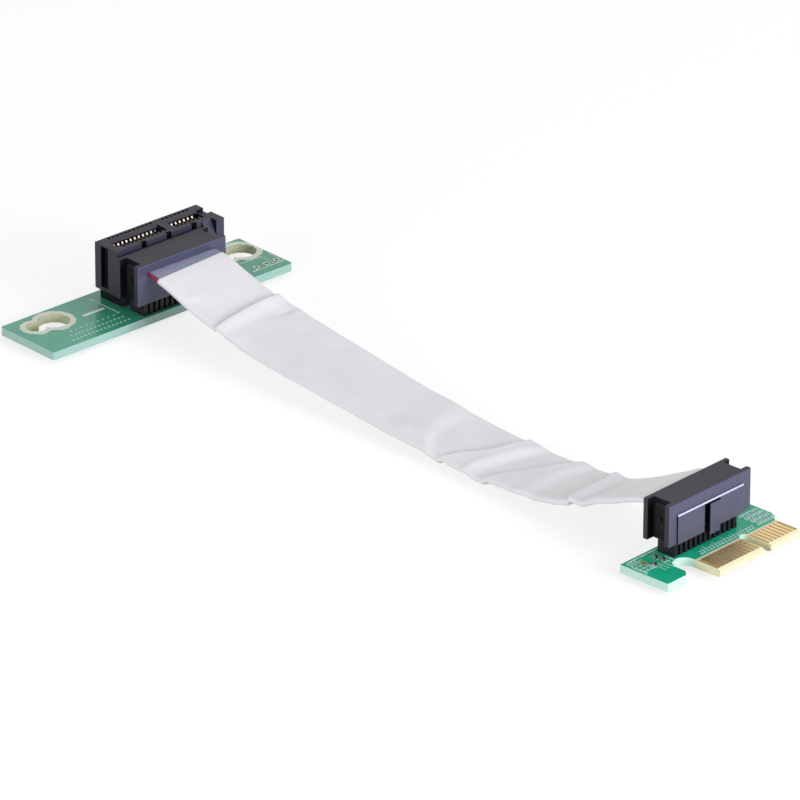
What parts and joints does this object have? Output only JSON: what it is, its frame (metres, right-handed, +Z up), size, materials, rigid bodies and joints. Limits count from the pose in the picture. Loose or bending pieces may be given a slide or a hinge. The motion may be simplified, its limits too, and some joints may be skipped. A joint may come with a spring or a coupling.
{
  "type": "pcie riser card",
  "caption": "Ribbon riser: a card socket board and a gold-fingered edge board joined by a flat shielded ribbon cable with black crimp plugs.",
  "frame": {"origin": "middle of the footprint of the two boards and their parts, on the surface that the pin tails stand on; the ribbon isn't counted", "axes": "+X along the ribbon from the card socket to the gold-fingered tongue, +Y to the short side of the card key, +Z up out of the card socket"},
  "size_m": [0.159, 0.0582, 0.0141],
  "materials": {
    "board_laminate": "green solder mask over glass fibre laminate, satin gloss",
    "solder_tin": "dull tinned copper",
    "socket_plastic": "black moulded plastic with a faint sheen",
    "contact_metal": "gold flash over spring metal",
    "header_plastic": "black moulded plastic",
    "pin_metal": "gold flash over square pins",
    "plug_plastic": "black moulded plastic with sharp ledges",
    "gold_plating": "polished gold plating",
    "chip_body": "black glazed ceramic",
    "chip_metal": "tinned end caps",
    "ribbon_grey": "grey PVC, ribbed along its cores",
    "ribbon_red": "red marking on the first core",
    "shield_cloth": "white silver conductive cloth, satin"
  },
  "bodies": {
    "root": {"slot_board": "board_laminate", "slot_board_mounting_rings": "solder_tin", "slot_board_power_pads": "solder_tin", "card_socket_housing": "socket_plastic", "card_socket_contacts_front": "contact_metal", "card_socket_contacts_back": "contact_metal", "slot_header_base": "header_plastic", "slot_header_pins": "pin_metal", "slot_plug_body": "plug_plastic", "slot_plug_cover": "plug_plastic", "edge_board": "board_laminate", "edge_fingers_top": "gold_plating", "edge_fingers_bottom": "gold_plating", "edge_header_base": "header_plastic", "edge_header_pins": "pin_metal", "edge_plug_body": "plug_plastic", "edge_plug_cover": "plug_plastic", "chip_resistor_bodies": "chip_body", "chip_resistor_terminals": "chip_metal", "ribbon_grey_cores": "ribbon_grey", "ribbon_red_core": "ribbon_red", "ribbon_shield_wrap": "shield_cloth"}
  },
  "joints": []
}
